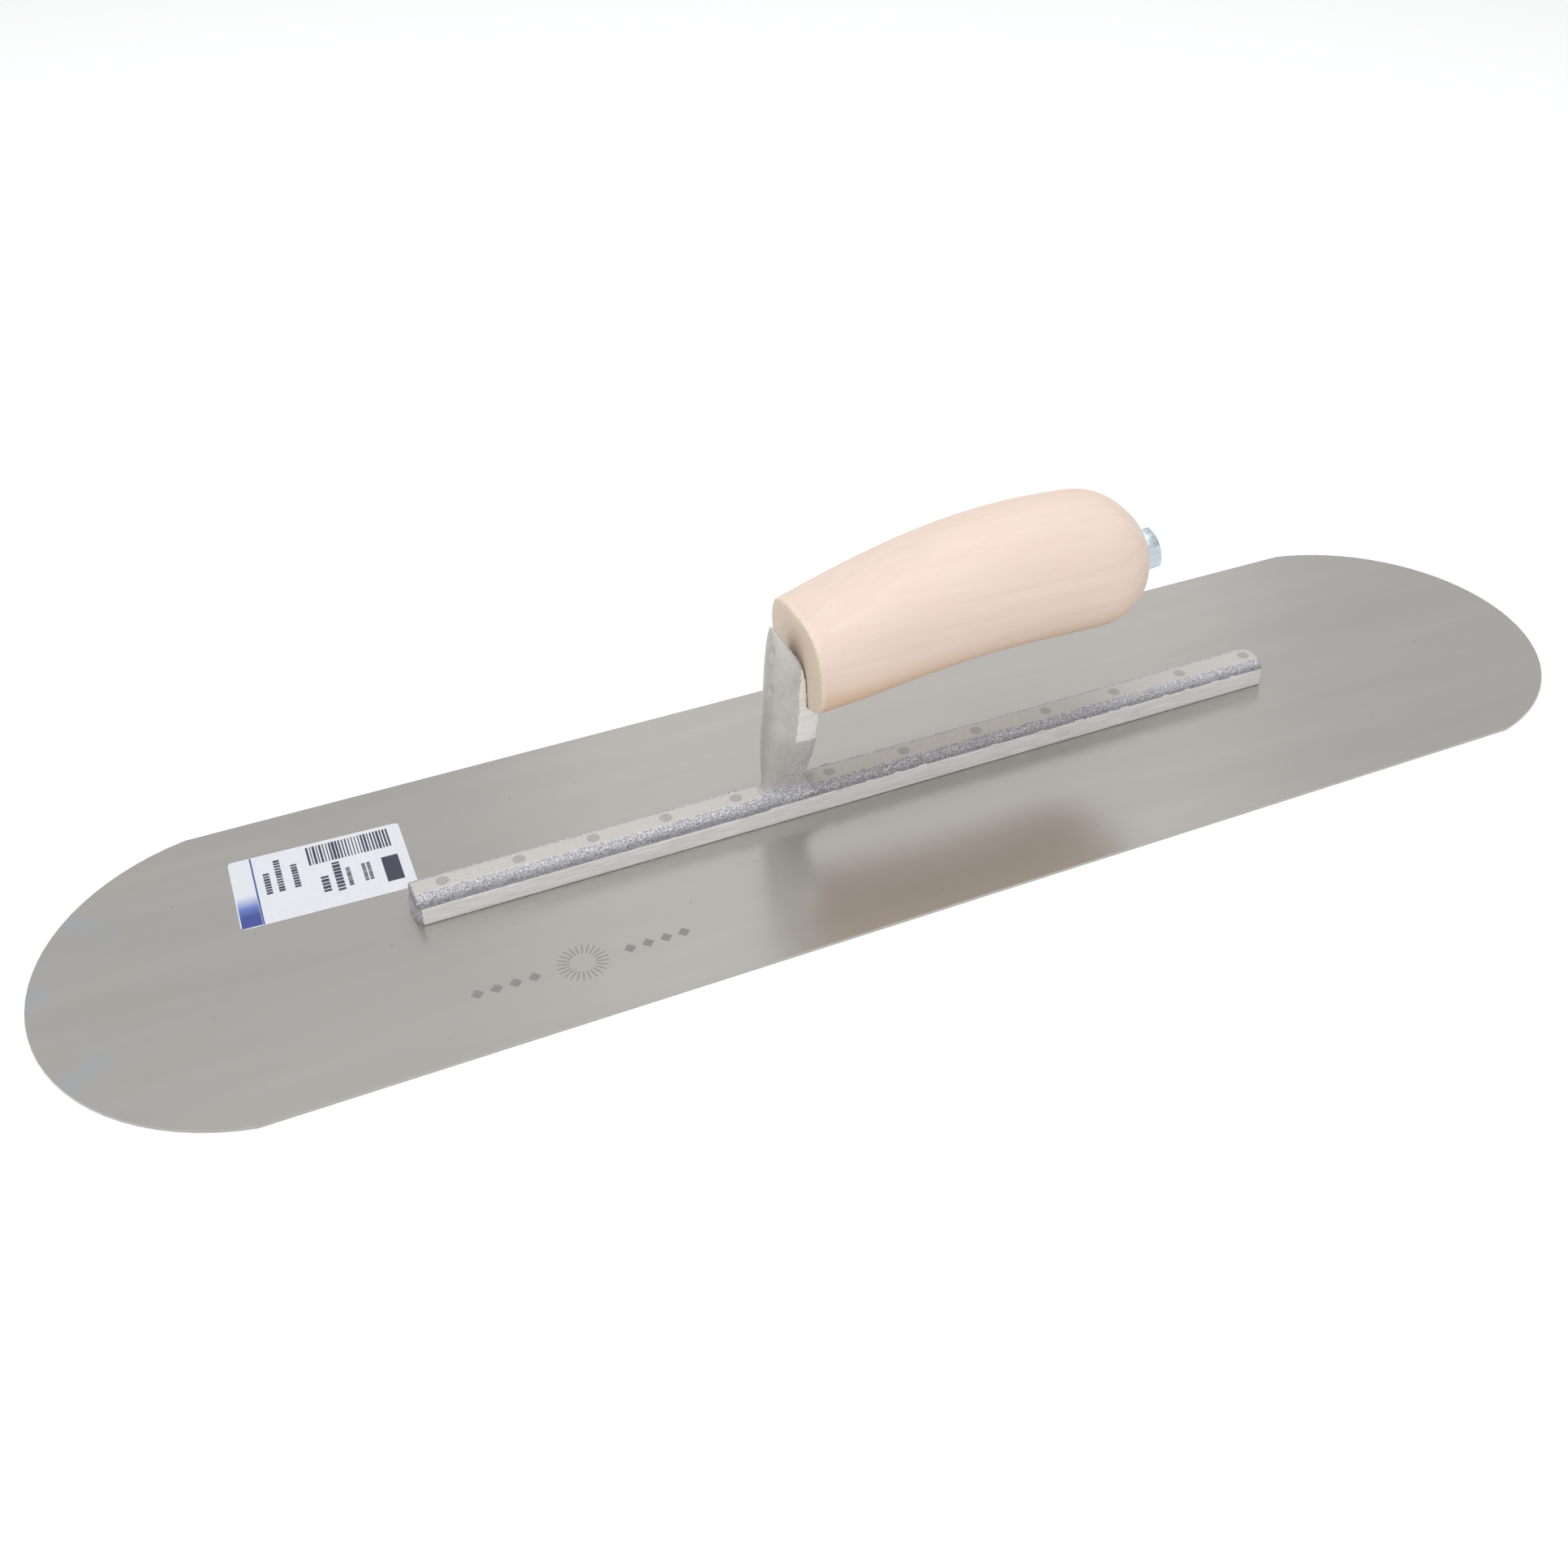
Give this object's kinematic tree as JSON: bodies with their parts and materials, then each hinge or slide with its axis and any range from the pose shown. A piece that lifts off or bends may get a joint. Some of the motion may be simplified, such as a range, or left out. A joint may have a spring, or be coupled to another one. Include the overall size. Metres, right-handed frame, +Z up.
{
  "type": "steel finishing trowel",
  "caption": "Long round-ended flat steel trowel for smoothing concrete, with a long cast mounting, an upright neck and a camel-back wooden handle held by a long hex bolt.",
  "frame": {"origin": "centre of the blade's flat bottom (working) face", "axes": "+X along the blade towards the end that the handle's bolt head faces, +Y across the blade, +Z up through the handle"},
  "size_m": [0.508, 0.127, 0.0875],
  "materials": {
    "blade_steel": "satin brushed stainless sheet",
    "cast_alloy": "sand-cast alloy, belt-ground on the sides and top",
    "rivet_steel": "ground flush",
    "basswood": "sanded, clear matt",
    "zinc_plate": "bright zinc-plated steel",
    "label_paper": "printed self-adhesive paper"
  },
  "bodies": {
    "root": {"blade": "blade_steel", "mounting": "cast_alloy", "handle": "basswood", "handle_bolt": "zinc_plate", "label": "label_paper", "rivet_01": "rivet_steel", "rivet_02": "rivet_steel", "rivet_03": "rivet_steel", "rivet_04": "rivet_steel", "rivet_05": "rivet_steel", "rivet_06": "rivet_steel", "rivet_07": "rivet_steel", "rivet_08": "rivet_steel", "rivet_09": "rivet_steel", "rivet_10": "rivet_steel", "rivet_11": "rivet_steel", "rivet_12": "rivet_steel"}
  },
  "joints": []
}
